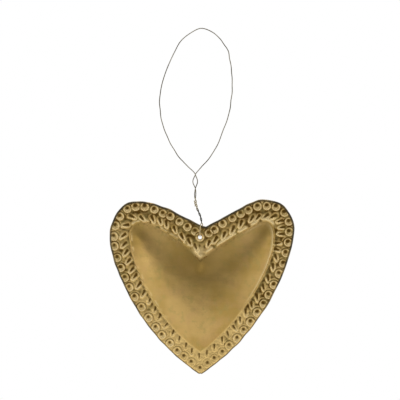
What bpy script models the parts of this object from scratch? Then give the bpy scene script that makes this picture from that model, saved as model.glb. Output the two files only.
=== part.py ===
# A hollow brass heart of two thin sheets, hung on one twisted brass wire.
# Metres, +Z up, front towards -Y, origin where a hook bears under the top of the wire loop.
# Places in the heart's own plane are pairs of x and z.

from math import atan2, cos, pi, radians, sin, sqrt

import bmesh
import bpy
import numpy as np
from mathutils import Matrix

MM = 0.001

# Sheet metal: the stack at the rim is front sheet, back sheet and the turned-back hem.
SHEET = 0.40 * MM
FIT_GAP = 0.30 * MM
HEM_WIDTH = 3.0 * MM
RIM_THICKNESS = 3 * SHEET + 2 * FIT_GAP
ROLL = RIM_THICKNESS / 2
ROLL_STEPS = 3
SHARP_EDGE = radians(35)

# Wire twist, from its foot above the notch up to the crossing under the big loop.
WIRE_RADIUS = 0.25 * MM
WIRE_ROUNDING = 1
TWIST_RADIUS = 0.52 * MM
OVERLAP_RADIUS = 0.60 * MM
EYE_RADIUS = 1.3 * MM
TAIL_RADIUS = 1.2 * MM
TAIL_LENGTH = 0.9 * MM
CROSSINGS = (-104.1 * MM, -101.6 * MM, -99.0 * MM, -96.2 * MM, -92.4 * MM, -86.2 * MM, -78.7 * MM)
UPPER_TAIL_Z = -92.9 * MM
LOWER_TAIL_Z = -95.8 * MM
OVERLAP_SPREAD = 1.1 * MM
STEM_AXIS = (
    (0.8 * MM, -104.1 * MM),
    (0.3 * MM, -101.5 * MM),
    (-0.5 * MM, -99.5 * MM),
    (-1.5 * MM, -97.2 * MM),
    (-2.3 * MM, -94.6 * MM),
    (-2.6 * MM, -91.4 * MM),
    (-2.5 * MM, -87.0 * MM),
    (-2.6 * MM, -82.7 * MM),
    (-2.5 * MM, -78.7 * MM),
)
BIGHT_BEND = 0.8 * MM
BEND_STEPS = 3
EDGE_ABOVE_NOTCH = 0.8 * MM
BACK_STRAND_LEAN = 1.4 * MM
FRONT_STRAND_LEAN = 0.35 * MM

# Big loop, from the right leg over the top to the left leg, as the wire was bent by hand.
LOOP = (
    (-0.2 * MM, -75.7 * MM),
    (3.8 * MM, -71.3 * MM),
    (8.6 * MM, -64.3 * MM),
    (12.4 * MM, -55.2 * MM),
    (15.3 * MM, -46.9 * MM),
    (17.0 * MM, -38.4 * MM),
    (17.5 * MM, -30.3 * MM),
    (16.7 * MM, -20.4 * MM),
    (15.1 * MM, -12.2 * MM),
    (11.9 * MM, -6.8 * MM),
    (6.5 * MM, -1.7 * MM),
    (0.5 * MM, 0.25 * MM),
    (-5.1 * MM, -2.3 * MM),
    (-10.5 * MM, -6.8 * MM),
    (-13.8 * MM, -12.5 * MM),
    (-17.5 * MM, -20.4 * MM),
    (-20.5 * MM, -29.8 * MM),
    (-21.7 * MM, -41.7 * MM),
    (-20.0 * MM, -52.5 * MM),
    (-16.3 * MM, -61.3 * MM),
    (-11.7 * MM, -68.7 * MM),
    (-6.8 * MM, -74.1 * MM),
)
STRANDS_MEET_OVER = 20 * MM
LOOP_STEP = 4.0 * MM
TWIST_STEP = 0.55 * MM
POINTS_PER_HALF_TURN = 6
OWN_NEIGHBOURHOOD = 1.5 * MM

# Hole that the wire hangs in, below the foot of the twist.
HOLE_RADIUS = 1.1 * MM
HOLE_SIDES = 16
PUNCH_LENGTH = 6 * RIM_THICKNESS
HOLE_X = 0.0
FOOT_TO_HOLE = 8.5 * MM
HOLE_Z = CROSSINGS[0] - FOOT_TO_HOLE

# Stamps: rings along the edge, slanting leaf loops inside them.
STAMP_HEIGHT = 0.45 * MM
STAMP_DIMPLE = 0.10 * MM
STAMP_PITCH = 5.7 * MM
RING_RADIUS = 2.05 * MM
RING_CREST = 1.50 * MM
LEAF_LENGTH = 4.2 * MM
LEAF_WIDTH = 2.0 * MM
LEAF_CREST_SHARE = 0.68
LEAF_SLANT = radians(50)
LEAF_EVENNESS = 0.5
ROLL_TO_RING = 0.15 * MM
RING_TO_LEAF = 0.30 * MM
LEAF_BAND = 4.4 * MM
LEAF_TO_DOME = 0.65 * MM
BORDER = ROLL + ROLL_TO_RING + 2 * RING_RADIUS + RING_TO_LEAF + LEAF_BAND + LEAF_TO_DOME

# Heart outline: the notch from the hole, then each lobe and the tip from the notch.
NOTCH_ASIDE = 3.2 * MM
NOTCH_ABOVE_HOLE = 6.1 * MM
NOTCH = (HOLE_X + NOTCH_ASIDE, HOLE_Z + NOTCH_ABOVE_HOLE)
TIP_DOWN = 79.9 * MM
TIP_ASIDE = -3.0 * MM
RIGHT_LOBE_WIDTH = 48.0 * MM
RIGHT_LOBE_RISE = 14.4 * MM
RIGHT_SHOULDER_WIDTH = 15.1 * MM
RIGHT_SHOULDER_DROP = 2.5 * MM
LEFT_LOBE_WIDTH = 52.2 * MM
LEFT_LOBE_RISE = 13.6 * MM
LEFT_SHOULDER_WIDTH = 14.1 * MM
LEFT_SHOULDER_DROP = 6.7 * MM
RIGHT_TOP = (RIGHT_LOBE_WIDTH - RIGHT_SHOULDER_WIDTH, RIGHT_LOBE_RISE)
RIGHT_OUTER = (RIGHT_LOBE_WIDTH, -RIGHT_SHOULDER_DROP)
LEFT_TOP = (LEFT_SHOULDER_WIDTH - LEFT_LOBE_WIDTH, LEFT_LOBE_RISE)
LEFT_OUTER = (-LEFT_LOBE_WIDTH, -LEFT_SHOULDER_DROP)
RIGHT_NOTCH_RISE = radians(27)
LEFT_NOTCH_RISE = radians(11)
TIP_RISE = radians(33.5)
RIGHT_PULLS = (0.88, 0.24, 0.08, 0.54)
LEFT_PULLS = (0.23, 0.43, 0.08, 0.53)

# Dome: its own softer heart inside the border.
NOTCH_BORDER = 17.5 * MM
TIP_BORDER = 11.5 * MM
TOP_BORDER = 11.3 * MM
DOME_RIGHT_TOP_IN = 1.6 * MM
DOME_LEFT_TOP_IN = 4.5 * MM
DOME_RIGHT_OUTER_DROP = 2.8 * MM
DOME_LEFT_OUTER_RISE = 2.1 * MM
DOME_RIGHT_NOTCH_RISE = radians(42)
DOME_LEFT_NOTCH_RISE = radians(54)
DOME_RIGHT_PULLS = (0.10, 0.10, 0.24, 0.10)
DOME_LEFT_PULLS = (0.20, 0.10, 0.21, 0.33)
DOME_STEP = 1.0 * MM
DOME_STEP_RUN = 0.35 * MM
DOME_PUFF = 5.2 * MM
DOME_CENTRE_DOWN = 14.4 * MM
DOME_RINGS = (0.88, 0.7, 0.48, 0.22)

# The rows of stamps dip towards the hole, by shares of the border's width.
DIP_REACH = 12 * MM
RING_DIP = 0.24
SPLIT_DIP = 0.30
ARC_POINTS = 60

# Depths: the wire hangs in the plane y = 0, midway between its two strands at the hole.
FRONT_STANDOFF = STAMP_HEIGHT + FIT_GAP + WIRE_RADIUS
BACK_STANDOFF = RIM_THICKNESS + FIT_GAP + WIRE_RADIUS
STRAND_Y = (FRONT_STANDOFF + BACK_STANDOFF) / 2
FACE_Y = FRONT_STANDOFF - STRAND_Y
WIRE_IN_HOLE_Z = HOLE_Z + HOLE_RADIUS - FIT_GAP - WIRE_RADIUS


def bezier(start, pull_a, pull_b, end):
    """Points of one cubic arc, without its last."""
    t = np.linspace(0, 1, ARC_POINTS, endpoint=False)[:, None]
    return (1 - t) ** 3 * start + 3 * (1 - t) ** 2 * t * pull_a + 3 * (1 - t) * t * t * pull_b + t**3 * end


def heart_side(notch, top, outer, tip, notch_rise, pulls, side):
    """One side of a heart from notch to tip; side is 1 for the right and -1 for the left."""
    notch, top, outer, tip = (np.array(p) for p in (notch, top, outer, tip))
    upper, lower = np.linalg.norm(top - notch), np.linalg.norm(tip - outer)
    across, up = np.array((side, 0.0)), np.array((0.0, 1.0))
    leave = np.array((side * cos(notch_rise), sin(notch_rise)))
    reach = np.array((side * cos(TIP_RISE), sin(TIP_RISE)))
    quarter = 4 / 3 * (sqrt(2) - 1)
    slope = bezier(notch, notch + leave * pulls[0] * upper, top - across * pulls[1] * upper, top)
    shoulder = bezier(
        top,
        top + across * quarter * abs(outer[0] - top[0]),
        outer + up * quarter * abs(top[1] - outer[1]),
        outer,
    )
    flank = bezier(outer, outer - up * pulls[2] * lower, tip + reach * pulls[3] * lower, tip)
    return np.vstack([slope, shoulder, flank, tip])


def runs_along(points):
    return np.r_[0, np.cumsum(np.linalg.norm(np.diff(points, axis=0), axis=1))]


def length_of(points):
    return float(runs_along(points)[-1])


def at_runs(points, runs, wanted):
    return np.c_[np.interp(wanted, runs, points[:, 0]), np.interp(wanted, runs, points[:, 1])]


def matched(outer, inner, count):
    """Points at even steps along the outer side, and their partners along the inner one."""
    outer_runs, inner_runs = runs_along(outer), runs_along(inner)
    wanted = np.linspace(0, outer_runs[-1], count + 1)
    partners = np.interp(wanted, outer_runs[::ARC_POINTS], inner_runs[::ARC_POINTS])
    return at_runs(outer, outer_runs, wanted), at_runs(inner, inner_runs, partners)


def from_notch(offset):
    return (NOTCH[0] + offset[0], NOTCH[1] + offset[1])


def heart_loops():
    """The outline and the dome's edge as matching closed loops, clockwise from the notch."""
    tip = (NOTCH[0] + TIP_ASIDE, NOTCH[1] - TIP_DOWN)
    right_top, right_outer = from_notch(RIGHT_TOP), from_notch(RIGHT_OUTER)
    left_top, left_outer = from_notch(LEFT_TOP), from_notch(LEFT_OUTER)
    right = heart_side(NOTCH, right_top, right_outer, tip, RIGHT_NOTCH_RISE, RIGHT_PULLS, 1)
    left = heart_side(NOTCH, left_top, left_outer, tip, LEFT_NOTCH_RISE, LEFT_PULLS, -1)
    dome_notch = (HOLE_X, NOTCH[1] - NOTCH_BORDER)
    dome_tip = (tip[0], tip[1] + TIP_BORDER)
    dome_right = heart_side(
        dome_notch,
        (right_top[0] - DOME_RIGHT_TOP_IN, right_top[1] - TOP_BORDER),
        (right_outer[0] - BORDER, right_outer[1] - DOME_RIGHT_OUTER_DROP),
        dome_tip,
        DOME_RIGHT_NOTCH_RISE,
        DOME_RIGHT_PULLS,
        1,
    )
    dome_left = heart_side(
        dome_notch,
        (left_top[0] + DOME_LEFT_TOP_IN, left_top[1] - TOP_BORDER),
        (left_outer[0] + BORDER, left_outer[1] + DOME_LEFT_OUTER_RISE),
        dome_tip,
        DOME_LEFT_NOTCH_RISE,
        DOME_LEFT_PULLS,
        -1,
    )
    outline, dome = [], []
    for outer_side, dome_side, backwards in ((right, dome_right, False), (left, dome_left, True)):
        half_cells = 2 * int(length_of(outer_side) / STAMP_PITCH) + 1
        a, b = matched(outer_side, dome_side, half_cells)
        if backwards:
            a, b = a[::-1], b[::-1]
        outline.append(a[:-1])
        dome.append(b[:-1])
    return np.vstack(outline), np.vstack(dome)


def toward(points, target, distance):
    """Each point moved by distance towards one target."""
    gap = target - points
    return points + gap * (distance / np.linalg.norm(gap, axis=1))[:, None]


def border_share(outline, dome, inset):
    """How far across the border, as a share of it, lies a line at an inset from the outline."""
    ahead = np.roll(outline, -1, axis=0) - outline
    inward = np.c_[ahead[:, 1], -ahead[:, 0]] / np.linalg.norm(ahead, axis=1)[:, None]
    widths = [((dome - outline) * normal).sum(axis=1) for normal in (inward, np.roll(inward, 1, axis=0))]
    return inset / np.minimum(*widths)


def nearness_to_hole(outline, centre):
    """One straight above the hole on the top edges, falling to none at the dip's reach."""
    near = np.clip(1 - np.abs(outline[:, 0] - HOLE_X) / DIP_REACH, 0, 1)
    return np.where(outline[:, 1] > centre[1], near, 0)


def across(outline, dome, share):
    return outline + (dome - outline) * share[:, None]


def inset_loop(outline, dome, inset):
    return across(outline, dome, border_share(outline, dome, inset))


class Skin:
    """A mesh built from closed loops of points in the heart's plane, each at one depth."""

    def __init__(self):
        self.bm = bmesh.new()

    def vert(self, flat, depth):
        return self.bm.verts.new((flat[0], depth, flat[1]))

    def loop(self, flats, depth):
        return [self.vert(p, depth) for p in flats]

    def face(self, verts):
        self.bm.faces.new(verts)

    def band(self, one, two):
        """Quads between two loops; outward is decided once, at the end."""
        count = len(one)
        for i in range(count):
            j = (i + 1) % count
            self.face((one[i], one[j], two[j], two[i]))

    def fan(self, loop, centre):
        count = len(loop)
        for i in range(count):
            self.face((loop[i], loop[(i + 1) % count], centre))

    def object(self, name, material):
        bmesh.ops.recalc_face_normals(self.bm, faces=self.bm.faces)
        mesh = bpy.data.meshes.new(name)
        self.bm.to_mesh(mesh)
        self.bm.free()
        made = bpy.data.objects.new(name, mesh)
        bpy.context.scene.collection.objects.link(made)
        mesh.materials.append(material)
        mesh.shade_smooth()
        mesh.set_sharp_from_angle(angle=SHARP_EDGE)
        return made


def oval_turns(cell, centre, half_length, half_width, along, upward, evenness):
    """Turns round an oval, each towards its cell corner, drawn towards even steps."""
    steps = -2 * pi * np.arange(len(cell)) / len(cell)
    gaps = np.array([(corner.co.x, corner.co.z) for corner in cell]) - centre
    turns = np.arctan2(gaps @ upward / half_width, gaps @ along / half_length)
    start = atan2(np.sin(turns - steps).sum(), np.cos(turns - steps).sum())
    uneven = (turns - steps - start + pi) % (2 * pi) - pi
    return start + steps + (1 - evenness) * uneven


def stamp(skin, cell, centre, half_length, half_width, crest_share, lean, evenness):
    """Fills one cell of the border with a raised oval ridge round a low middle."""
    along, upward = np.array((cos(lean), sin(lean))), np.array((-sin(lean), cos(lean)))
    turns = oval_turns(cell, centre, half_length, half_width, along, upward, evenness)
    rims = []
    for share, depth in ((1.0, FACE_Y), (crest_share, FACE_Y - STAMP_HEIGHT)):
        ring = []
        for turn in turns:
            reach = half_length * cos(turn) * along + half_width * sin(turn) * upward
            ring.append(skin.vert(centre + share * reach, depth))
        rims.append(ring)
    skin.band(cell, rims[0])
    skin.band(rims[0], rims[1])
    skin.fan(rims[1], skin.vert(centre, FACE_Y + STAMP_DIMPLE))


def ring_stamp(skin, cell, centre):
    stamp(skin, cell, centre, RING_RADIUS, RING_RADIUS, RING_CREST / RING_RADIUS, 0, 1)


def leaf_stamp(skin, cell, centre, lean):
    half_length, half_width = LEAF_LENGTH / 2, LEAF_WIDTH / 2
    stamp(skin, cell, centre, half_length, half_width, LEAF_CREST_SHARE, lean, LEAF_EVENNESS)


def cell_row(skin, outer, inner, centres, leaning):
    """A row of cells between two loops, each filled with a ring or, where it leans, a leaf."""
    count = len(outer)
    tip = min(range(count), key=lambda i: outer[i].co.z)
    sides = {}
    for i in range(0, count, 2):
        place = (outer[i].co + inner[i].co) / 2
        sides[i] = skin.vert((place.x, place.z), FACE_Y)
    for i in range(0, count, 2):
        mid, end = i + 1, (i + 2) % count
        cell = (*(outer[k] for k in (i, mid, end)), sides[end], *(inner[k] for k in (end, mid, i)), sides[i])
        if leaning:
            run = outer[end].co - outer[i].co
            slant = LEAF_SLANT if mid < tip else -LEAF_SLANT
            lean = atan2(run.z, run.x) + slant
            leaf_stamp(skin, cell, centres[mid], lean)
        else:
            ring_stamp(skin, cell, centres[mid])


def dome_loops(skin, edge, centre, inset, depth):
    """The step and the pillow from the dome's edge to its middle, moved in by the sheet."""
    base = toward(edge, centre, inset)
    top = toward(edge, centre, inset + DOME_STEP_RUN)
    loops = [skin.loop(base, depth), skin.loop(top, depth - DOME_STEP)]
    radius = np.linalg.norm(top - centre, axis=1)
    outward = (top - centre) / radius[:, None]
    for share in DOME_RINGS:
        rise = DOME_STEP + DOME_PUFF * (1 - share**2)
        reach = share * (share * radius + (1 - share) * radius.mean())
        loops.append(skin.loop(centre + outward * reach[:, None], depth - rise))
    for one, two in zip(loops, loops[1:]):
        skin.band(one, two)
    skin.fan(loops[-1], skin.vert(centre, depth - DOME_STEP - DOME_PUFF))
    return loops[0]


def rolled(skin, outline, dome, radius, steps):
    """Loops round the rim's half turn, at one radius, from the front face to the hem."""
    loops = []
    for step in steps:
        turn = pi * step / ROLL_STEPS
        flat = inset_loop(outline, dome, ROLL - radius * sin(turn))
        loops.append(skin.loop(flat, FACE_Y + ROLL - radius * cos(turn)))
    return loops


def front_shell(outline, dome, material):
    """The stamped front sheet: dome, border, rolled rim and the hem behind the back sheet."""
    skin = Skin()
    centre = np.array((HOLE_X, NOTCH[1] - NOTCH_BORDER - DOME_CENTRE_DOWN))
    ring_inset = ROLL + ROLL_TO_RING + RING_RADIUS
    split_inset = ring_inset + RING_RADIUS + RING_TO_LEAF
    near = nearness_to_hole(outline, centre)
    ring_share = border_share(outline, dome, ring_inset) + RING_DIP * near
    split_share = border_share(outline, dome, split_inset) + SPLIT_DIP * near
    rings = across(outline, dome, ring_share)
    rings[-1] = (HOLE_X, HOLE_Z)
    split = across(outline, dome, split_share)
    rim = skin.loop(inset_loop(outline, dome, ROLL), FACE_Y)
    middle = skin.loop(split, FACE_Y)
    edge = dome_loops(skin, dome, centre, 0.0, FACE_Y)
    cell_row(skin, rim, middle, rings, False)
    cell_row(skin, middle, edge, (split + dome) / 2, True)

    hem_edge = inset_loop(outline, dome, HEM_WIDTH)
    hem = [skin.loop(hem_edge, FACE_Y + RIM_THICKNESS - depth) for depth in (0, SHEET)]
    outer_roll = rolled(skin, outline, dome, ROLL, range(1, ROLL_STEPS + 1))
    inner_roll = rolled(skin, outline, dome, ROLL - SHEET, range(ROLL_STEPS, -1, -1))
    inside = dome_loops(skin, dome, centre, SHEET, FACE_Y + SHEET)
    loops = [rim, *outer_roll, *hem, *inner_roll, inside]
    for one, two in zip(loops, loops[1:]):
        skin.band(one, two)
    return skin.object("front_shell", material)


def back_sheet(outline, dome, material):
    """The flat closing sheet, loose inside the front sheet's rolled rim."""
    skin = Skin()
    centre = np.array((HOLE_X, NOTCH[1] - NOTCH_BORDER - DOME_CENTRE_DOWN))
    flat = inset_loop(outline, dome, ROLL)
    near = FACE_Y + SHEET + FIT_GAP
    loops = [skin.loop(flat, near), skin.loop(flat, near + SHEET)]
    skin.band(*loops)
    for loop, depth in zip(loops, (near, near + SHEET)):
        skin.fan(loop, skin.vert(centre, depth))
    return skin.object("back_sheet", material)


def hole_punch():
    """The cutter for the hole through both sheets."""
    mesh = bpy.data.meshes.new("hole_punch")
    bm = bmesh.new()
    bmesh.ops.create_cone(
        bm, cap_ends=True, segments=HOLE_SIDES, radius1=HOLE_RADIUS, radius2=HOLE_RADIUS, depth=PUNCH_LENGTH
    )
    bmesh.ops.rotate(bm, verts=bm.verts, matrix=Matrix.Rotation(pi / 2, 3, "X"))
    bm.to_mesh(mesh)
    bm.free()
    punch = bpy.data.objects.new("hole_punch", mesh)
    punch.location = (HOLE_X, 0, HOLE_Z)
    punch.hide_render = True
    punch.display_type = "WIRE"
    bpy.context.scene.collection.objects.link(punch)
    return punch


def punched(sheet, punch):
    cut = sheet.modifiers.new("hole", "BOOLEAN")
    cut.operation = "DIFFERENCE"
    cut.object = punch


def smooth_path(points, step):
    """Points every step or so along a smooth curve through the given points."""
    p = np.array(points)
    knots = np.r_[0, np.cumsum(np.linalg.norm(np.diff(p, axis=0), axis=1))]
    tangents = np.gradient(p, knots, axis=0)
    out = []
    for k in range(len(p) - 1):
        span = knots[k + 1] - knots[k]
        count = max(1, round(span / step))
        t = (np.arange(count) / count)[:, None]
        near, far = 2 * t**3 - 3 * t**2 + 1, -2 * t**3 + 3 * t**2
        out.append(
            near * p[k]
            + (t**3 - 2 * t**2 + t) * span * tangents[k]
            + far * p[k + 1]
            + (t**3 - t**2) * span * tangents[k + 1]
        )
    out.append(p[-1:])
    return np.vstack(out)


def strand(heights, spread, tail_end):
    """A strand of the twist at the given heights; spread is its angle from the through strand."""
    axis = smooth_path(STEM_AXIS, TWIST_STEP)
    overlap = (LOWER_TAIL_Z - OVERLAP_SPREAD, LOWER_TAIL_Z, UPPER_TAIL_Z, UPPER_TAIL_Z + OVERLAP_SPREAD)
    points = []
    for z in heights:
        half_turns = np.interp(z, CROSSINGS, np.arange(len(CROSSINGS)))
        radius = TWIST_RADIUS + (OVERLAP_RADIUS - TWIST_RADIUS) * np.interp(z, overlap, (0, 1, 1, 0))
        eye = np.clip((z - CROSSINGS[-2]) / (CROSSINGS[-1] - CROSSINGS[-2]), 0, 1)
        radius += (EYE_RADIUS - TWIST_RADIUS) * sin(pi * eye)
        if tail_end is not None:
            radius += (TAIL_RADIUS - OVERLAP_RADIUS) * np.clip(1 - abs(z - tail_end) / TAIL_LENGTH, 0, 1)
        angle = pi / 2 - pi * half_turns + spread(z)
        x = np.interp(z, axis[:, 1], axis[:, 0])
        points.append((x + radius * cos(angle), radius * sin(angle), z))
    return points


def twist_heights(low, high):
    """Heights at even steps of the twist's turning between two heights."""
    turns = np.arange(len(CROSSINGS))
    first, last = np.interp((low, high), CROSSINGS, turns)
    count = round((last - first) * POINTS_PER_HALF_TURN)
    return np.interp(np.linspace(first, last, count + 1), turns, CROSSINGS)


def through_spread(z):
    return 0.0


def front_spread(z):
    """The front strand lies opposite the through strand, then a third of a turn from it."""
    return np.interp(z, (LOWER_TAIL_Z - OVERLAP_SPREAD, LOWER_TAIL_Z), (pi, 2 * pi / 3))


def upper_spread(z):
    """The strand from the loop lies opposite the through strand above the overlap."""
    return np.interp(z, (UPPER_TAIL_Z, UPPER_TAIL_Z + OVERLAP_SPREAD), (4 * pi / 3, pi))


def bend(y_side):
    """The wire's quarter bend out of the hole, to the front or to the back."""
    points = []
    for step in range(BEND_STEPS + 1):
        turn = pi / 2 * step / BEND_STEPS
        y = y_side * (STRAND_Y - BIGHT_BEND + BIGHT_BEND * sin(turn))
        points.append((HOLE_X, y, WIRE_IN_HOLE_Z + BIGHT_BEND * (1 - cos(turn))))
    return points


def hanger_path():
    """The one wire: tail, twist, front strand, hole, back strand, twist, loop, twist, tail."""
    foot, top = CROSSINGS[0], CROSSINGS[-1]
    edge = NOTCH[1] + EDGE_ABOVE_NOTCH
    front = strand(twist_heights(foot, UPPER_TAIL_Z), front_spread, UPPER_TAIL_Z)[::-1]
    front_run = [
        (HOLE_X + FRONT_STRAND_LEAN, -STRAND_Y, edge),
        (HOLE_X, -STRAND_Y, (edge + WIRE_IN_HOLE_Z) / 2),
    ]
    back_run = [
        (HOLE_X + BACK_STRAND_LEAN / 2, STRAND_Y, (edge + WIRE_IN_HOLE_Z) / 2),
        (HOLE_X + BACK_STRAND_LEAN, STRAND_Y, edge),
    ]
    through = strand(twist_heights(foot, top), through_spread, None)
    upper = strand(twist_heights(LOWER_TAIL_Z, top), upper_spread, LOWER_TAIL_Z)[::-1]
    lowest = min(z for _, z in LOOP)
    loop = []
    for k, (x, z) in enumerate(LOOP):
        still_apart = max(0.0, 1 - (z - lowest) / STRANDS_MEET_OVER)
        side = 1 if k < len(LOOP) / 2 else -1
        loop.append((x, side * TWIST_RADIUS * still_apart, z))
    low = front + front_run + bend(-1)[::-1] + bend(1) + back_run + through
    twisted = smooth_path(low, TWIST_STEP)
    big = smooth_path([through[-2], through[-1]] + loop + [upper[0], upper[1]], LOOP_STEP)
    big = big[(big[:, 2] > top + TWIST_STEP)]
    return np.vstack([twisted, big, smooth_path(upper, TWIST_STEP)])


def least_gap(path):
    """The least clear distance from the wire to itself, away from its own neighbourhood."""
    dense = smooth_path(path, TWIST_STEP / 2)
    run = np.r_[0, np.cumsum(np.linalg.norm(np.diff(dense, axis=0), axis=1))]
    apart = np.linalg.norm(dense[:, None] - dense[None, :], axis=2)
    apart[np.abs(run[:, None] - run[None, :]) < OWN_NEIGHBOURHOOD] = 1.0
    return float(apart.min()) - 2 * WIRE_RADIUS


def hanger_wire(material):
    path = hanger_path()
    gap, length = least_gap(path) / MM, length_of(path) / MM
    print(f"hanger wire: least gap to itself {gap:.2f} mm, length {length:.0f} mm")
    curve = bpy.data.curves.new("hanger_wire", "CURVE")
    curve.dimensions = "3D"
    curve.bevel_depth = WIRE_RADIUS
    curve.bevel_resolution = WIRE_ROUNDING
    curve.use_fill_caps = True
    spline = curve.splines.new("POLY")
    spline.points.add(len(path) - 1)
    for point, place in zip(spline.points, path):
        point.co = (*place, 1)
    made = bpy.data.objects.new("hanger_wire", curve)
    curve.materials.append(material)
    bpy.context.scene.collection.objects.link(made)
    return made


def brass(name, colour, roughness):
    material = bpy.data.materials.new(name)
    material.use_nodes = True
    shader = material.node_tree.nodes["Principled BSDF"]
    shader.inputs["Base Color"].default_value = (*colour, 1)
    shader.inputs["Metallic"].default_value = 1.0
    shader.inputs["Roughness"].default_value = roughness
    return material


def hung_from(piece, pivot):
    """Puts the piece's origin on the axis it swings about."""
    piece.data.transform(Matrix.Translation((-HOLE_X, 0, -WIRE_IN_HOLE_Z)))
    piece.parent = pivot


def main():
    for old in list(bpy.data.objects):
        bpy.data.objects.remove(old)
    front_brass = brass("stamped_brass", (0.62, 0.46, 0.20), 0.38)
    back_brass = brass("plain_brass", (0.56, 0.42, 0.19), 0.45)
    wire_brass = brass("wire_brass", (0.30, 0.27, 0.18), 0.45)
    pivot = bpy.data.objects.new("heart_swing", None)
    pivot.location = (HOLE_X, 0, WIRE_IN_HOLE_Z)
    bpy.context.scene.collection.objects.link(pivot)
    outline, dome = heart_loops()
    punch = hole_punch()
    for sheet in (front_shell(outline, dome, front_brass), back_sheet(outline, dome, back_brass)):
        hung_from(sheet, pivot)
        punched(sheet, punch)
    hanger_wire(wire_brass)


main()
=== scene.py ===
from math import cos, pi, radians, sin, sqrt

import bmesh
import bpy
import numpy as np
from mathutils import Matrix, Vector


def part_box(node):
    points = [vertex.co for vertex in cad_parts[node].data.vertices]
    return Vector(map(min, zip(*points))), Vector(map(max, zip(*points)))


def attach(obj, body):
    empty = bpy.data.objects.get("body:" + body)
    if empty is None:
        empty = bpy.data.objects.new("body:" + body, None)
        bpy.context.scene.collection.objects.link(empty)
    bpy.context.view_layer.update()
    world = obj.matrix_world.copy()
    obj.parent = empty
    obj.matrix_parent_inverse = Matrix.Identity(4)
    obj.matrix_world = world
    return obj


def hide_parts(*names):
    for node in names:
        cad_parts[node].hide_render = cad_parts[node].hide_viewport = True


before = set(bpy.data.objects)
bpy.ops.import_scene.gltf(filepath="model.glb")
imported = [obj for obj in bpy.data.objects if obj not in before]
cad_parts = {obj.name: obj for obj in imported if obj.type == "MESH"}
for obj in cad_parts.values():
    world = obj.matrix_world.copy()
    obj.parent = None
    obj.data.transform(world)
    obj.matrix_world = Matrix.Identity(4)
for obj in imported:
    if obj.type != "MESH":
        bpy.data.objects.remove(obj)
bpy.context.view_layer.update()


# Camera and studio.
# The ornament hangs before a white backdrop, over a white floor, and is seen straight on through a
# long lens. Soft boxes light it from the left, the right and above, and the room in front is dim.
MM = 0.001
VIEW_HEIGHT = 216 * MM
VIEW_MIDDLE = -92.45 * MM
CAMERA_DISTANCE = 1.2
CLIP_START = 0.05
SENSOR = 36.0
FLOOR_LEVEL = -0.30
FLOOR_RADIUS = 0.9
FLOOR_SIDES = 96
PAPER_WHITE = (0.9, 0.9, 0.9)
PAPER_ROUGHNESS = 0.9
WHITE = (1.0, 1.0, 1.0)
# The room's tone at each height, from 0 straight below to 1 straight above.
ROOM_TONES = ((0.0, 1.0), (0.3, 1.0), (0.42, 0.76), (0.5, 0.59), (0.62, 0.51), (0.8, 0.51), (1.0, 0.58))
# These edges run from -1, straight at the lens, to 1, straight behind the ornament.
BACKDROP_EDGES = (-0.15, 0.35)
LENS_SHADE = 0.60
LENS_EDGES = (-0.70, -1.0)
# Each soft box: its name, its place, the length of its side, both in metres, and its power in watts.
SOFT_BOXES = (
    ("left_soft_box", (-0.95, -0.75, -0.28), 0.6, 1.1),
    ("right_soft_box", (1.1, -0.55, -0.2), 0.5, 0.3),
    ("top_soft_box", (-0.05, 0.06, 0.6), 0.35, 1.2),
)
# The numbers of a Mix node's two colour sockets and of its mixed colour.
MIX_COLOURS = (6, 7)
MIX_RESULT = 2


def add_camera():
    data = bpy.data.cameras.new("long_lens")
    data.sensor_width = SENSOR
    data.lens = SENSOR * CAMERA_DISTANCE / VIEW_HEIGHT
    data.clip_start = CLIP_START
    camera = bpy.data.objects.new("long_lens", data)
    camera.location = (0, -CAMERA_DISTANCE, VIEW_MIDDLE)
    camera.rotation_euler = (radians(90), 0, 0)
    bpy.context.scene.collection.objects.link(camera)
    bpy.context.scene.camera = camera


def add_range(tree, value, edges, ends=(0.0, 1.0)):
    """Turns a value softly from one end to the other between two edges."""
    node = tree.nodes.new("ShaderNodeMapRange")
    node.interpolation_type = "SMOOTHSTEP"
    tree.links.new(value, node.inputs["Value"])
    for name, number in zip(("From Min", "From Max", "To Min", "To Max"), (*edges, *ends)):
        node.inputs[name].default_value = number
    return node.outputs["Result"]


def add_mix(tree, factor, one, two):
    """Mixes two colours; each is a socket or a plain colour."""
    node = tree.nodes.new("ShaderNodeMix")
    node.data_type = "RGBA"
    tree.links.new(factor, node.inputs["Factor"])
    for number, colour in zip(MIX_COLOURS, (one, two)):
        if isinstance(colour, tuple):
            node.inputs[number].default_value = (*colour, 1.0)
        else:
            tree.links.new(colour, node.inputs[number])
    return node.outputs[MIX_RESULT]


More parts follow.
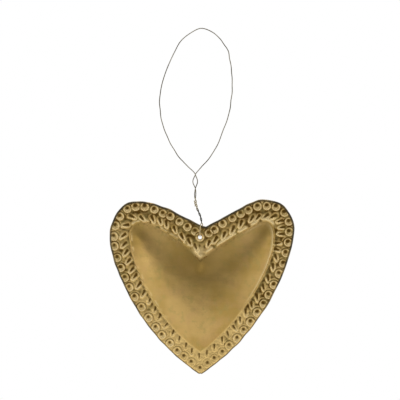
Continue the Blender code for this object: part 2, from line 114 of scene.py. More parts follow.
def room_light():
    """White for the camera; for the metal a white backdrop and floor, and a dim room in front."""
    world = bpy.data.worlds.new("studio")
    world.use_nodes = True
    bpy.context.scene.world = world
    tree = world.node_tree
    nodes, links = tree.nodes, tree.links
    nodes.clear()
    direction = nodes.new("ShaderNodeTexCoord")
    parts = nodes.new("ShaderNodeSeparateXYZ")
    links.new(direction.outputs["Generated"], parts.inputs["Vector"])
    height = nodes.new("ShaderNodeMapRange")
    height.inputs["From Min"].default_value = -1.0
    links.new(parts.outputs["Z"], height.inputs["Value"])
    tones = nodes.new("ShaderNodeValToRGB")
    for place, _ in ROOM_TONES[1:-1]:
        tones.color_ramp.elements.new(place)
    for stop, (place, tone) in zip(tones.color_ramp.elements, ROOM_TONES):
        stop.position = place
        stop.color = (tone, tone, tone, 1.0)
    links.new(height.outputs["Result"], tones.inputs["Fac"])
    shaded = nodes.new("ShaderNodeVectorMath")
    shaded.operation = "SCALE"
    links.new(tones.outputs["Color"], shaded.inputs["Vector"])
    links.new(add_range(tree, parts.outputs["Y"], LENS_EDGES, (1.0, LENS_SHADE)), shaded.inputs["Scale"])
    behind = add_range(tree, parts.outputs["Y"], BACKDROP_EDGES)
    room = add_mix(tree, behind, shaded.outputs["Vector"], WHITE)
    ray = nodes.new("ShaderNodeLightPath")
    colour = add_mix(tree, ray.outputs["Is Camera Ray"], room, WHITE)
    background = nodes.new("ShaderNodeBackground")
    links.new(colour, background.inputs["Color"])
    out = nodes.new("ShaderNodeOutputWorld")
    links.new(background.outputs["Background"], out.inputs["Surface"])


def add_floor():
    mesh = bpy.data.meshes.new("studio_floor")
    bm = bmesh.new()
    bmesh.ops.create_circle(bm, cap_ends=True, segments=FLOOR_SIDES, radius=FLOOR_RADIUS)
    bm.to_mesh(mesh)
    bm.free()
    floor = bpy.data.objects.new("studio_floor", mesh)
    floor.location = (0, 0, FLOOR_LEVEL)
    bpy.context.scene.collection.objects.link(floor)
    paper = bpy.data.materials.new("white_paper")
    paper.use_nodes = True
    shader = paper.node_tree.nodes["Principled BSDF"]
    shader.inputs["Base Color"].default_value = (*PAPER_WHITE, 1.0)
    shader.inputs["Roughness"].default_value = PAPER_ROUGHNESS
    mesh.materials.append(paper)


def add_soft_box(name, place, side, power):
    """A square lamp that faces the middle of the ornament."""
    data = bpy.data.lights.new(name, "AREA")
    data.size = side
    data.energy = power
    lamp = bpy.data.objects.new(name, data)
    lamp.location = place
    aim = Vector((0, 0, VIEW_MIDDLE)) - Vector(place)
    lamp.rotation_euler = aim.to_track_quat("-Z", "Y").to_euler()
    bpy.context.scene.collection.objects.link(lamp)


add_camera()
room_light()
add_floor()
for soft_box in SOFT_BOXES:
    add_soft_box(*soft_box)
bpy.context.scene.view_settings.view_transform = "Standard"


# The stamped front sheet.
# One thin brass sheet, cut by hand to a heart and raised to a dome in the middle. A ring punch and
# a leaf punch were struck round its border, and its rim is folded back over the back sheet.
shell_low, shell_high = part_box("front_shell")
SHEET = 0.40 * MM
ROLL = 0.90 * MM
ROLL_BULGE = 0.76 * MM
ROLL_STEPS = 9
FACE_Y = shell_high.y - 2 * ROLL
OUT_OF_BOX = 0.17 * MM
NOTCH = np.array((3.2, -106.5)) * MM
TIP_FILED = 0.7 * MM
TIP = np.array((0.2 * MM, shell_low.z - OUT_OF_BOX - TIP_FILED))
RIGHT_TOP = np.array((36.1 * MM, shell_high.z + OUT_OF_BOX))
RIGHT_OUTER = np.array((shell_high.x + OUT_OF_BOX, -109.0 * MM))
LEFT_TOP = np.array((-34.9, -92.9)) * MM
LEFT_OUTER = np.array((shell_low.x - OUT_OF_BOX, -113.2 * MM))
TIP_RISE = radians(33.5)
RIGHT_NOTCH_RISE = radians(27)
LEFT_NOTCH_RISE = radians(11)
# How far the edge holds its direction as it leaves the notch, nears the top, leaves the outermost
# point and nears the tip, as shares of the way between those points.
RIGHT_PULLS = (0.88, 0.24, 0.08, 0.54)
LEFT_PULLS = (0.23, 0.43, 0.08, 0.53)
DOME_NOTCH = np.array((0.0, -124.0)) * MM
DOME_TIP = np.array((0.2, -174.9)) * MM
DOME_RIGHT_TOP = np.array((35.2, -103.8)) * MM
DOME_RIGHT_OUTER = np.array((40.4, -111.8)) * MM
DOME_LEFT_TOP = np.array((-30.4, -104.2)) * MM
DOME_LEFT_OUTER = np.array((-38.2, -111.1)) * MM
DOME_CENTRE = np.array((0.0, -138.4)) * MM
DOME_RIGHT_NOTCH_RISE = radians(42)
DOME_LEFT_NOTCH_RISE = radians(54)
DOME_RIGHT_PULLS = (0.10, 0.10, 0.30, 0.23)
DOME_LEFT_PULLS = (0.20, 0.10, 0.25, 0.33)
ARC_POINTS = 80
COLUMNS = 560
BORDER_ROWS = 46
DOME_STEP_RUN = 1.6 * MM
STEP_ROWS = 8
DOME_ROWS = 52
HALVINGS = (2, 8, 24, 40)
CUT_WANDER = 0.09 * MM
CUT_SPAN = 8 * MM
TIP_FILE_COLUMNS = 9
WAVES = 16
WAVE_SPREAD = (0.7, 1.6)
QUARTER_ARC = 4 / 3 * (sqrt(2) - 1)
UP = np.array((0.0, 1.0))


def smooth(t):
    """A soft step from none at 0 to all at 1."""
    t = np.clip(t, 0, 1)
    return t * t * (3 - 2 * t)


def fade(x, start, run):
    """A soft step up from a start, done after a run; a run below 0 leads the other way."""
    return smooth((x - start) / run)


def blend(ends, share):
    return ends[0] + (ends[1] - ends[0]) * share


def bump(x, middle, width):
    """A soft hill of unit height about its middle."""
    return np.exp(-(((x - middle) / width) ** 2))


def plateau(x, reach, edge):
    """A flat hill of unit height; the higher the number for its edge, the steeper that is."""
    return np.exp(-((x / reach) ** edge))


def uneven(flat, wavelength, seed):
    """A soft random unevenness of about unit size."""
    waves = np.random.default_rng(seed)
    total = np.zeros(len(flat))
    for _ in range(WAVES):
        turn, phase = waves.uniform(0, 2 * pi, 2)
        pace = 2 * pi / (wavelength * waves.uniform(*WAVE_SPREAD))
        total += np.sin(pace * (flat @ np.array((cos(turn), sin(turn)))) + phase)
    return total / sqrt(WAVES / 2)


def patchy(middle, swing, flat, span, seed):
    """A share between none and all that wanders about a middle in soft patches."""
    return smooth(middle + swing * uneven(flat, span, seed))


def bezier(start, pull_a, pull_b, end):
    """Points of one cubic arc, without its last."""
    t = np.linspace(0, 1, ARC_POINTS, endpoint=False)[:, None]
    back = 1 - t
    return back**3 * start + 3 * back**2 * t * pull_a + 3 * back * t * t * pull_b + t**3 * end


def heart_side(notch, top, outer, tip, notch_rise, pulls, side):
    """One side of a heart from notch to tip; side is 1 for the right and -1 for the left."""
    upper = np.linalg.norm(top - notch)
    lower = np.linalg.norm(tip - outer)
    across = np.array((side, 0.0))
    leave = np.array((side * cos(notch_rise), sin(notch_rise)))
    reach = np.array((side * cos(TIP_RISE), sin(TIP_RISE)))
    round_over = across * QUARTER_ARC * abs(outer[0] - top[0])
    round_down = UP * QUARTER_ARC * abs(top[1] - outer[1])
    slope = bezier(notch, notch + leave * pulls[0] * upper, top - across * pulls[1] * upper, top)
    shoulder = bezier(top, top + round_over, outer + round_down, outer)
    flank = bezier(outer, outer - UP * pulls[2] * lower, tip + reach * pulls[3] * lower, tip)
    return np.vstack([slope, shoulder, flank, tip])


def runs_along(points):
    return np.r_[0, np.cumsum(np.linalg.norm(np.diff(points, axis=0), axis=1))]


def at_runs(points, runs, wanted):
    return np.stack([np.interp(wanted, runs, points[:, 0]), np.interp(wanted, runs, points[:, 1])], axis=-1)


def matched(outer, inner):
    """Points at even steps along the outer side, and their partners along the inner one."""
    outer_runs, inner_runs = runs_along(outer), runs_along(inner)
    wanted = np.linspace(0, outer_runs[-1], COLUMNS + 1)
    partners = np.interp(wanted, outer_runs[::ARC_POINTS], inner_runs[::ARC_POINTS])
    return at_runs(outer, outer_runs, wanted), at_runs(inner, inner_runs, partners)


right_side, dome_right_side = matched(
    heart_side(NOTCH, RIGHT_TOP, RIGHT_OUTER, TIP, RIGHT_NOTCH_RISE, RIGHT_PULLS, 1),
    heart_side(
        DOME_NOTCH, DOME_RIGHT_TOP, DOME_RIGHT_OUTER, DOME_TIP, DOME_RIGHT_NOTCH_RISE, DOME_RIGHT_PULLS, 1
    ),
)
left_side, dome_left_side = matched(
    heart_side(NOTCH, LEFT_TOP, LEFT_OUTER, TIP, LEFT_NOTCH_RISE, LEFT_PULLS, -1),
    heart_side(
        DOME_NOTCH, DOME_LEFT_TOP, DOME_LEFT_OUTER, DOME_TIP, DOME_LEFT_NOTCH_RISE, DOME_LEFT_PULLS, -1
    ),
)
outline = np.vstack([right_side[:-1], left_side[:0:-1]])
dome_edge = np.vstack([dome_right_side[:-1], dome_left_side[:0:-1]])


def bumped(loop):
    """The loop with the small flats and bumps of snips, and its tip filed round."""
    away = np.linalg.norm(loop - loop[COLUMNS], axis=1)
    wander = CUT_WANDER * np.c_[uneven(loop, CUT_SPAN, seed=31), uneven(loop, CUT_SPAN, seed=32)]
    loop = loop + wander * smooth(away / CUT_SPAN)[:, None]
    filed = loop.copy()
    for step in range(-TIP_FILE_COLUMNS, TIP_FILE_COLUMNS + 1):
        reach = TIP_FILE_COLUMNS - abs(step)
        column = COLUMNS + step
        filed[column] = loop[column - reach : column + reach + 1].mean(axis=0)
    return filed


outline = bumped(outline)


def square_inward(outer):
    """The direction square to each of the outline's steps, into the heart."""
    ahead = np.roll(outer, -1, axis=0) - outer
    return np.c_[ahead[:, 1], -ahead[:, 0]] / np.linalg.norm(ahead, axis=1)[:, None]


inward = square_inward(outline)
border_width = np.minimum(
    ((dome_edge - outline) * inward).sum(axis=1),
    ((dome_edge - outline) * np.roll(inward, 1, axis=0)).sum(axis=1),
)


def inset_loop(inset):
    """The loop that lies at an inset from the outline, square to it."""
    return outline + (dome_edge - outline) * np.reshape(inset / border_width, (-1, 1))


# The rings were struck by eye, from the notch down either side to the tip. Each step is the way to
# the next ring, in millimetres. What changes along a row is given as pairs of a strike's number and
# its value there: insets from the edge, brows above the rings, strengths and sizes.
HOLE = np.array((0.0, -112.6)) * MM
HOLE_RADIUS = 1.05 * MM
LEFT_STEPS = (
    5.9, 4.8, 5.0, 5.7, 4.4, 4.8, 5.4, 4.9, 5.0, 5.6, 5.4, 5.9, 5.0, 6.5,
    5.6, 5.9, 5.7, 5.8, 6.7, 7.0, 6.5, 5.4, 6.1, 5.8, 4.8, 4.8, 6.5,
)
RIGHT_STEPS = (
    2.6, 3.6, 4.7, 5.9, 5.2, 5.0, 5.2, 5.2, 5.1, 5.4, 5.4, 5.4, 5.7, 6.0,
    5.8, 6.0, 6.4, 6.2, 5.4, 5.7, 6.4, 5.7, 5.6, 5.7, 5.2, 5.6, 4.6, 5.2,
)
LEFT_INSETS = (
    (0, 6.0), (1, 4.4), (2, 4.4), (3, 3.6), (5, 3.6), (7, 3.0),
    (9, 3.1), (11, 2.5), (17, 2.3), (19, 3.0), (27, 2.8),
)
RIGHT_INSETS = (
    (0, 6.0), (1, 4.1), (2, 3.9), (3, 3.0), (5, 2.8), (6, 3.4),
    (8, 3.6), (10, 2.3), (12, 3.0), (15, 2.2), (20, 2.5), (28, 2.9),
)
RING_ROW_INSET = 2.9 * MM
RING_SIZE_WANDER = 0.03
STRENGTH_WANDER = 0.1
RING_STRENGTHS = ((0, 1.0), (22, 1.0), (25, 0.5), (28, 0.35))
RING_LIFT = np.array((0.0, 0.1)) * MM
RING_CREST = 1.92 * MM
RING_CREST_WIDTH = 0.48 * MM
RING_HEIGHT = 0.45 * MM
RING_TILT = 0.3
RING_BOWL = 0.28 * MM
RING_BOWL_RADIUS = 1.5 * MM
RING_BOWL_EDGE = 6
RING_PIT = 0.55 * MM
RING_PIT_RADIUS = 0.92 * MM
PIT_EDGE = 3
# The pit, and its painted dark of grime and shade, sit above and to the left of the ring's middle.
RING_PIT_OFF = np.array((-0.18, 0.65)) * MM
RING_MOAT = 0.24 * MM
RING_MOAT_RADIUS = 2.58 * MM
RING_MOAT_WIDTH = 0.34 * MM
RING_MOAT_GRIME = 0.6
# Painted shade on the moat's upper side, laid over its grime.
RING_ARC_GRIME = 0.35
RING_BROW = 0.26 * MM
RING_BROW_RADIUS = 3.15 * MM
RING_BROW_WIDTH = 0.36 * MM
RING_BROW_REACH = 0.3
LEFT_BROWS = ((1, 0.3), (5, 0.5), (8, 1.0))
RIGHT_BROWS = ((1, 0.6), (4, 1.0))
PIT_GRIME = 0.95
PIT_GRIME_EDGE = 4
HAIR = 0.01 * MM
HAND_SEED = 11
rng = np.random.default_rng(HAND_SEED)


def way_down(side):
    """The columns passed on the way from the notch to the tip, down the right (1) or left (-1)."""
    return (side * np.arange(COLUMNS + 1)) % (2 * COLUMNS)


def along_row(pairs, count):
    """The values at each strike of a row, from those given for some of them."""
    numbers, values = np.transpose(pairs)
    return np.interp(np.arange(1, count + 1), numbers, values)


def wandering(spread, count):
    return 1 + rng.normal(0, spread, count)


def ring_row():
    """The centre of each ring strike, its strength and that of its brow; the first is the hole's."""
    line = inset_loop(RING_ROW_INSET)
    centres, strengths, brows = [HOLE], [1.0], [0.0]
    sides = (
        (1, RIGHT_STEPS, len(RIGHT_STEPS), RIGHT_INSETS, RIGHT_BROWS),
        (-1, LEFT_STEPS, len(LEFT_STEPS) - 1, LEFT_INSETS, LEFT_BROWS),
    )
    for side, steps, count, insets, browed in sides:
        way = way_down(side)
        runs = runs_along(line[way])
        stops = np.cumsum(steps)[:count] / sum(steps) * runs[-1]
        columns = way[np.clip(np.searchsorted(runs, stops), 0, len(way) - 1)]
        shares = along_row(insets, count) * MM / border_width[columns]
        centres.extend(outline[columns] + (dome_edge[columns] - outline[columns]) * shares[:, None])
        strengths.extend(along_row(RING_STRENGTHS, count) * wandering(STRENGTH_WANDER, count))
        brows.extend(along_row(browed, count))
    return zip(centres, strengths, brows)


# The leaves were struck by eye as well, between the rings and the dome. The gaps say how far the
# row stands off the dome, and the tilts how many degrees the leaves lean from the upright, with
# their tops to the right where positive.
LEFT_LEAF_STEPS = (
    4.3, 4.5, 4.8, 4.9, 5.0, 3.9, 4.4, 6.6, 4.2, 5.8, 5.7, 4.8, 4.5, 4.8,
    5.0, 4.1, 5.0, 5.2, 5.4, 5.8, 4.6, 5.8, 5.9, 5.1, 5.1, 4.4, 4.9,
)
RIGHT_LEAF_STEPS = (
    4.1, 4.4, 5.6, 5.6, 5.2, 6.5, 3.7, 4.6, 4.0, 4.1, 3.1, 2.8, 4.6, 3.9,
    4.5, 5.4, 7.0, 5.4, 6.5, 5.1, 5.3, 5.1, 5.1, 4.9, 4.6, 5.9, 5.3,
)
LEFT_LEAF_GAPS = (
    (1, 3.1), (3, 3.1), (5, 4.7), (7, 3.6), (8, 1.7), (9, 4.3), (11, 3.5),
    (15, 2.9), (18, 2.5), (19, 1.2), (21, 1.9), (24, 1.6), (27, 2.3),
)
RIGHT_LEAF_GAPS = (
    (1, 4.3), (3, 3.6), (6, 4.0), (8, 2.5), (10, 4.7), (11, 4.5),
    (13, 1.9), (15, 2.6), (18, 2.7), (21, 2.1), (23, 2.6), (27, 2.3),
)
LEFT_LEAF_TILTS = (
    (1, -25), (3, -28), (5, -8), (7, -22), (9, -65), (10, 82), (11, 50),
    (13, 36), (16, 40), (20, 18), (22, 45), (23, 20), (27, -3),
)
RIGHT_LEAF_TILTS = (
    (1, 20), (2, 34), (3, 21), (5, 20), (9, 62), (12, 88), (13, -88), (14, -70),
    (15, -20), (16, -6), (18, -15), (22, -3), (23, -40), (24, -18), (25, -5), (27, 3),
)
LEAF_ROW_GAP = 3.0 * MM
LEAF_SIZE_WANDER = 0.05
LEAF_STRENGTHS = ((1, 1.0), (15, 1.0), (19, 0.6), (27, 0.35))
LEAF_SIZES = ((1, 1.0), (16, 1.0), (22, 0.95), (27, 0.85))
LEAF_HALF = 1.55 * MM
LEAF_LOOP = 0.95 * MM
LEAF_TAPER = 0.42
LEAF_CREST_WIDTH = 0.55 * MM
LEAF_HEIGHT = 0.50 * MM
LEAF_OPEN = 0.5
LEAF_OPEN_FROM = 0.6
LEAF_TILT = 0.35
LEAF_SLOT = 0.50 * MM
LEAF_SLOT_WIDTH = 0.54 * MM
LEAF_SLOT_TAPER = 0.45
LEAF_SLOT_FOOT = 0.5
LEAF_SLOT_FADE = 0.3


def leaf_row():
    """Each leaf strike: its centre, its axis down the leaf, its size and its strength."""
    strikes = []
    line = dome_edge + (outline - dome_edge) * (LEAF_ROW_GAP / border_width)[:, None]
    rows = (
        (1, RIGHT_LEAF_STEPS, RIGHT_LEAF_GAPS, RIGHT_LEAF_TILTS),
        (-1, LEFT_LEAF_STEPS, LEFT_LEAF_GAPS, LEFT_LEAF_TILTS),
    )
    for side, steps, gaps, tilts in rows:
        count = len(steps)
        way = way_down(side)
        columns = way[np.searchsorted(runs_along(line[way]), np.cumsum(steps) * MM)]
        shares = along_row(gaps, count) * MM / border_width[columns]
        centres = dome_edge[columns] + (outline[columns] - dome_edge[columns]) * shares[:, None]
        angles = np.radians(along_row(tilts, count))
        axes = np.c_[-np.sin(angles), -np.cos(angles)]
        sizes = along_row(LEAF_SIZES, count) * wandering(LEAF_SIZE_WANDER, count)
        strengths = along_row(LEAF_STRENGTHS, count) * wandering(STRENGTH_WANDER, count)
        strikes.extend(zip(centres, axes, sizes, strengths))
    return strikes


def ring_strike(off, size, browed):
    """A ring round a small pitted bowl, with a brow above: raised, sunk, the moat's grime with painted shade
    on its upper side, and the pit's grime with painted shade.
    """
    low = off - RING_LIFT
    r = np.linalg.norm(low, axis=1) / size
    upward = low @ UP / size / np.maximum(r, HAIR)
    crest = RING_HEIGHT * bump(r, RING_CREST, RING_CREST_WIDTH) * (1 - RING_TILT * upward)
    bowl = RING_BOWL * plateau(r, RING_BOWL_RADIUS, RING_BOWL_EDGE) * (1 - RING_TILT * upward)
    brow = browed * RING_BROW * bump(r, RING_BROW_RADIUS, RING_BROW_WIDTH) * smooth(RING_BROW_REACH + upward)
    moat = bump(r, RING_MOAT_RADIUS, RING_MOAT_WIDTH)
    from_pit = np.linalg.norm(off - RING_PIT_OFF, axis=1) / size
    pit = RING_PIT * plateau(from_pit, RING_PIT_RADIUS, PIT_EDGE)
    raised = np.maximum(np.maximum(crest, bowl), brow)
    # The moat's dark is grime all round, with painted shade added on its upper side.
    arc = moat * (RING_MOAT_GRIME + RING_ARC_GRIME * upward)
    return raised, pit + RING_MOAT * moat, arc, PIT_GRIME * plateau(from_pit, RING_PIT_RADIUS, PIT_GRIME_EDGE)


def leaf_strike(off, axis, size):
    """A raised loop, narrower and higher at its foot, round a slot: raised, sunk, and the slot's grime with
    painted shade.
    """
    along = off @ axis / size
    aside = off @ np.array((-axis[1], axis[0])) / size
    beyond = np.maximum(np.abs(along) - LEAF_HALF, 0)
    d = np.sqrt(beyond**2 + aside**2)
    from_axis = off / size - axis * np.clip(along, -LEAF_HALF, LEAF_HALF)[:, None]
    upward = from_axis @ UP / np.maximum(d, HAIR)
    share = along / (LEAF_HALF + LEAF_LOOP)
    down = np.clip(share, -1, 1)
    crest = LEAF_HEIGHT * bump(d, LEAF_LOOP * (1 - LEAF_TAPER * down), LEAF_CREST_WIDTH)
    crest *= 1 - LEAF_TILT * upward
    crest *= blend((LEAF_OPEN, 1), smooth(LEAF_OPEN_FROM + share))
    slot = plateau(d / LEAF_SLOT_WIDTH, 1 - LEAF_SLOT_TAPER * down, PIT_EDGE)
    slot *= smooth((LEAF_SLOT_FOOT - share) / LEAF_SLOT_FADE)
    return crest, LEAF_SLOT * slot, PIT_GRIME * slot


def stamped_relief(flat):
    """The height of all the strikes above the plain sheet, their grime with painted shade, and the grime and
    painted shade of their pits.
    """
    raised, sunk, grime, pits = np.zeros((4, len(flat)))
    reach = 2 * RING_MOAT_RADIUS
    for centre, strike, browed in ring_row():
        near = np.abs(flat - centre).max(axis=1) < reach
        up, down, dirt, pit = ring_strike(flat[near] - centre, 1 + rng.normal(0, RING_SIZE_WANDER), browed)
        raised[near] = np.maximum(raised[near], strike * up)
        sunk[near] = np.maximum(sunk[near], strike * down)
        grime[near] = np.maximum(grime[near], min(1, strike) * dirt)
        pits[near] = np.maximum(pits[near], pit)
    for centre, axis, size, strike in leaf_row():
        near = np.abs(flat - centre).max(axis=1) < reach
        up, down, pit = leaf_strike(flat[near] - centre, axis, size)
        raised[near] = np.maximum(raised[near], strike * up)
        sunk[near] = np.maximum(sunk[near], down)
        pits[near] = np.maximum(pits[near], pit)
    return raised - sunk, grime, pits


AT_ONCE = 2000
NEAREST = 0.05 * MM


def soft_distance(flat):
    """Distance to the dome's edge that rounds off where two sides are equally near."""
    ahead = np.linalg.norm(np.roll(dome_edge, -1, axis=0) - dome_edge, axis=1)
    weight = (ahead + np.roll(ahead, 1)) / 2
    pull = np.zeros(len(flat))
    for start in range(0, len(flat), AT_ONCE):
        some = slice(start, start + AT_ONCE)
        gap = np.linalg.norm(flat[some, None] - dome_edge[None], axis=2)
        pull[some] = (weight / np.maximum(gap, NEAREST) ** 3).sum(axis=1)
    # A long straight edge pulls with two over the distance squared.
    return np.sqrt(2 / pull)


def rows_inside(edge, count, halvings):
    """Ever rounder loops inside the edge, down to the dome's centre but without that point."""
    spokes = edge - DOME_CENTRE
    radius = np.linalg.norm(spokes, axis=1)
    rows = []
    for k in range(1, count):
        share = 1 - k / count
        rounded = share * (share * radius + (1 - share) * radius.mean())
        every = 2 ** sum(k >= halving for halving in halvings)
        rows.append((DOME_CENTRE + spokes * (rounded / radius)[:, None])[::every])
    return rows


def sheet_rows():
    """Loops from the rim's inner side over the border and the dome, without the centre."""
    rows = []
    for k in range(BORDER_ROWS + 1):
        start = ROLL / border_width
        share = start + (1 - start) * k / BORDER_ROWS
        rows.append(outline + (dome_edge - outline) * share[:, None])
    inward_gap = DOME_CENTRE - dome_edge
    reach = np.linalg.norm(inward_gap, axis=1)[:, None]
    for k in range(1, STEP_ROWS + 1):
        rows.append(dome_edge + inward_gap * DOME_STEP_RUN * k / STEP_ROWS / reach)
    return rows + rows_inside(rows[-1], DOME_ROWS, HALVINGS)


# Besides real wear and grime, these kinds carry painted shade in the hollows, pits, rim and on the dome's
# top, and painted highlights on rubbed tops and the lower border.
WEAR = ("grime", "pit", "rubbed", "tarnish", "rim", "handled")


def wear_of(**kinds):
    """The wear of points in the order above; a kind that isn't given is none."""
    return np.stack(np.broadcast_arrays(*(kinds.get(kind, 0.0) for kind in WEAR)), axis=-1)


class Skin:
    """A mesh laid in closed rows; a row may have half as many points as the one before."""

    def __init__(self):
        self.places, self.faces, self.wear = [], [], []
        self.count = 0
        self.last = None

    def row(self, flat, depth, wear):
        here = np.arange(self.count, self.count + len(flat))
        self.places.append(np.c_[flat[:, 0], np.broadcast_to(depth, len(flat)), flat[:, 1]])
        self.wear.append(np.broadcast_to(wear, (len(flat), len(WEAR))))
        self.count += len(flat)
        if self.last is not None and len(flat) > 1:
            self.join(self.last, here)
        elif self.last is not None:
            self.faces.extend((one, here[0], two) for one, two in zip(self.last, np.roll(self.last, -1)))
        self.last = here

    def join(self, one, two):
        ratio = len(one) // len(two)
        for j in range(len(two)):
            run = [one[(j * ratio + i) % len(one)] for i in range(ratio + 1)]
            self.faces.append((two[j], two[(j + 1) % len(two)], *reversed(run)))

    def punch(self, centre, radius):
        """Takes out the faces inside a hole and draws the ragged edge out to its circle."""
        places, wear = np.vstack(self.places), np.vstack(self.wear)
        off = places[:, [0, 2]] - centre
        r = np.linalg.norm(off, axis=1)
        inside = r < radius
        kept = [f for f in self.faces if not inside[list(f)].any()]
        edge = {v for f in self.faces if inside[list(f)].any() for v in f if not inside[v]}
        for v in edge:
            places[v, 0], places[v, 2] = centre + off[v] / r[v] * radius
        used = sorted({v for f in kept for v in f})
        new = {v: i for i, v in enumerate(used)}
        return places[used], [tuple(new[v] for v in f) for f in kept], wear[used]


def keep_wear(mesh, kinds):
    """Stores each kind of wear on the mesh's points, for its material."""
    for kind, values in kinds:
        layer = mesh.attributes.new(kind, "FLOAT", "POINT")
        layer.data.foreach_set("value", values.astype(np.float32))


def sheet_object(name, skin, material):
    """The skin as a sheet of real thickness, with the hole punched through it."""
    places, faces, wear = skin.punch(HOLE, HOLE_RADIUS)
    mesh = bpy.data.meshes.new(name)
    mesh.from_pydata(places, [], faces)
    keep_wear(mesh, zip(WEAR, wear.T))
    mesh.materials.append(material)
    mesh.shade_smooth()
    made = bpy.data.objects.new(name, mesh)
    bpy.context.scene.collection.objects.link(made)
    thickness = made.modifiers.new("sheet", "SOLIDIFY")
    thickness.thickness = SHEET
    thickness.offset = -1
    return made


# The dome swells like a cushion, and grime has settled in the hollows, most of all near the top.
DOME_SHORT_OF_BOX = 0.08 * MM
DOME_PUFF = FACE_Y - shell_low.y - DOME_SHORT_OF_BOX
DOME_FULLNESS = 1.7
NOTCH_REACH = 6 * MM
NOTCH_SOFT = 0.45
BEAD = 0.35 * MM
BEAD_IN = 0.9 * MM
BEAD_WIDTH = 0.6 * MM
SEAM = 0.50 * MM
SEAM_LEFT = 0.6
SEAM_GAP = 1.2 * MM
SEAM_WIDTH = 0.95 * MM
SEAM_SPAN = 5 * MM
SEAM_SHARE = 0.75
SEAM_SWING = 0.4
FOOT_SOFT = 0.5 * MM
FOOT_PATINA = 0.9
FOOT_PATINA_REACH = 1.6 * MM
FOOT_PATINA_SPAN = 1.5 * MM
FOOT_PATINA_SWING = 0.5
HAMMERED = 0.035 * MM
HAMMERED_SPAN = 6.0 * MM
GROUND_ROUGH = 0.04 * MM
GROUND_SPAN = 2.6 * MM
RELIEF_FADE = 0.6 * MM
CLEAN_FOOT = 0.4 * MM
# A painted highlight along the dome's sharp foot.
EDGE_RUBBED = 0.8
LEFT_PRESSED = 0.6
LEFT_PRESSED_SPAN = 4 * MM
LEFT_PRESSED_SHARE = 0.5
LEFT_PRESSED_SWING = 0.5
HEM_WIDTH = 3.0 * MM
HEM_ROWS = 3
HEM_WANDER = 0.06
HEM_SPAN = 9 * MM
HEM_SLIT_COLUMNS = (0, 190, 240, 290, 830, 880, 930)
HEM_GRIME = 0.25
SLIT_HALF = 1.1 * MM
SLIT_LEFT = 0.1
OLD_TOP = -112 * MM
OLD_FOOT = -180 * MM
OLD_WANDER = 0.10
OLD_SPAN = 7 * MM
FOOT_LINE = 1.0
FOOT_LINE_GAP = 0.9 * MM
FOOT_LINE_WIDTH = 0.55 * MM
GRIME_RUN = 0.16 * MM
RIM_GRIME = 0.3
RIM_PATCHES = 0.2
RIM_SPAN = 8 * MM
RIM_WORN = 0.6
RIM_OVER_BORDER = 0.9
# These soft steps are each given as where they start and how far they run.
DOME_FOOT = (0.2 * MM, 0.9 * MM)
RIGHT_FLANK = (20 * MM, 14 * MM)
RIGHT_FLANK_TOP = (-104 * MM, -6 * MM)
LEFT_FLANK = (-10 * MM, -12 * MM)
LEFT_FLANK_TOP = (-108 * MM, -6 * MM)
UPPER_DOME = (-126 * MM, 8 * MM)
UPPER_DOME_SIDES = (39 * MM, -6 * MM)
SEAM_SLOPES = (0.3, 0.3)
FOOT_LINE_HEIGHTS = (-168 * MM, 12 * MM)
RUBBED_HEIGHTS = (0.14 * MM, 0.26 * MM)
HANDLED_EDGE = (-0.2 * MM, 1.2 * MM)
RIM_WORN_TURNS = (radians(50), radians(50))
# These have one value for the youngest looking brass, at the tip, and one for the oldest, at the top.
GRIME_LEVELS = (-0.08 * MM, 0.16 * MM)
HAMMERED_SHARES = (0.35, 1.0)
RIM_DARK = (0.65, 0.9)
RIM_TURNS = (radians(26), radians(8))
RIM_INWARD = (0.2 * MM, 0.6 * MM)
# Soft round patches: each one's centre and span, both in millimetres, and its strength.
# The tarnish patches darken the dome's top and upper lobes with tarnish and painted shade; the small one
# below the notch is painted shade laid over a highlight.
TARNISH_PATCHES = (
    ((0.0, -127.0), 14.0, 0.85),
    ((0.0, -130.0), 3.0, 0.4),
    ((24.0, -115.0), 12.0, 0.2),
    ((-22.0, -116.0), 11.0, 0.2),
    ((-36.0, -114.0), 8.0, 0.85),
    ((35.0, -108.0), 6.0, 0.6),
    ((19.0, -143.0), 12.0, 0.3),
)
DIRT_PATCHES = (
    ((-1.0, -121.0), 4.5, -0.9),
    ((-48.0, -112.0), 10.0, -0.5),
    ((-17.0, -103.0), 8.0, -0.25),
    ((13.0, -107.0), 8.0, -0.3),
    ((32.0, -146.0), 12.0, 0.5),
    ((14.0, -170.0), 9.0, 0.4),
)
HANDLED_PATCHES = (((-27.0, -144.0), 6.0, 0.3),)
RUBBED_PATCHES = (
    ((-0.5, -120.5), 3.2, 0.7),
    ((-47.0, -112.0), 6.0, 0.3),
)


def oldness(flat):
    """How much grime the ground holds, from 0 at the tip to 1 at the top."""
    height = (flat[:, 1] - OLD_FOOT) / (OLD_TOP - OLD_FOOT)
    return patchy(height, OLD_WANDER, flat, OLD_SPAN, seed=13)


def flanks(flat):
    """How sharply the dome's foot was pressed up: most of all down the right flank."""
    x, z = flat.T
    right = fade(x, *RIGHT_FLANK) * fade(z, *RIGHT_FLANK_TOP)
    left = LEFT_PRESSED * fade(x, *LEFT_FLANK) * fade(z, *LEFT_FLANK_TOP)
    return right + left * patchy(LEFT_PRESSED_SHARE, LEFT_PRESSED_SWING, flat, LEFT_PRESSED_SPAN, seed=19)


def upper_dome(flat):
    """The parts of the dome next to its upper edges, darkened with patina and painted shade."""
    x, z = flat.T
    return fade(z, *UPPER_DOME) * fade(np.abs(x), *UPPER_DOME_SIDES)


def soft_patches(flat, patches):
    """The sum of soft round patches."""
    amount = np.zeros(len(flat))
    for centre, span, strength in patches:
        amount += strength * bump(np.linalg.norm(flat / MM - np.array(centre), axis=1), 0, span)
    return amount


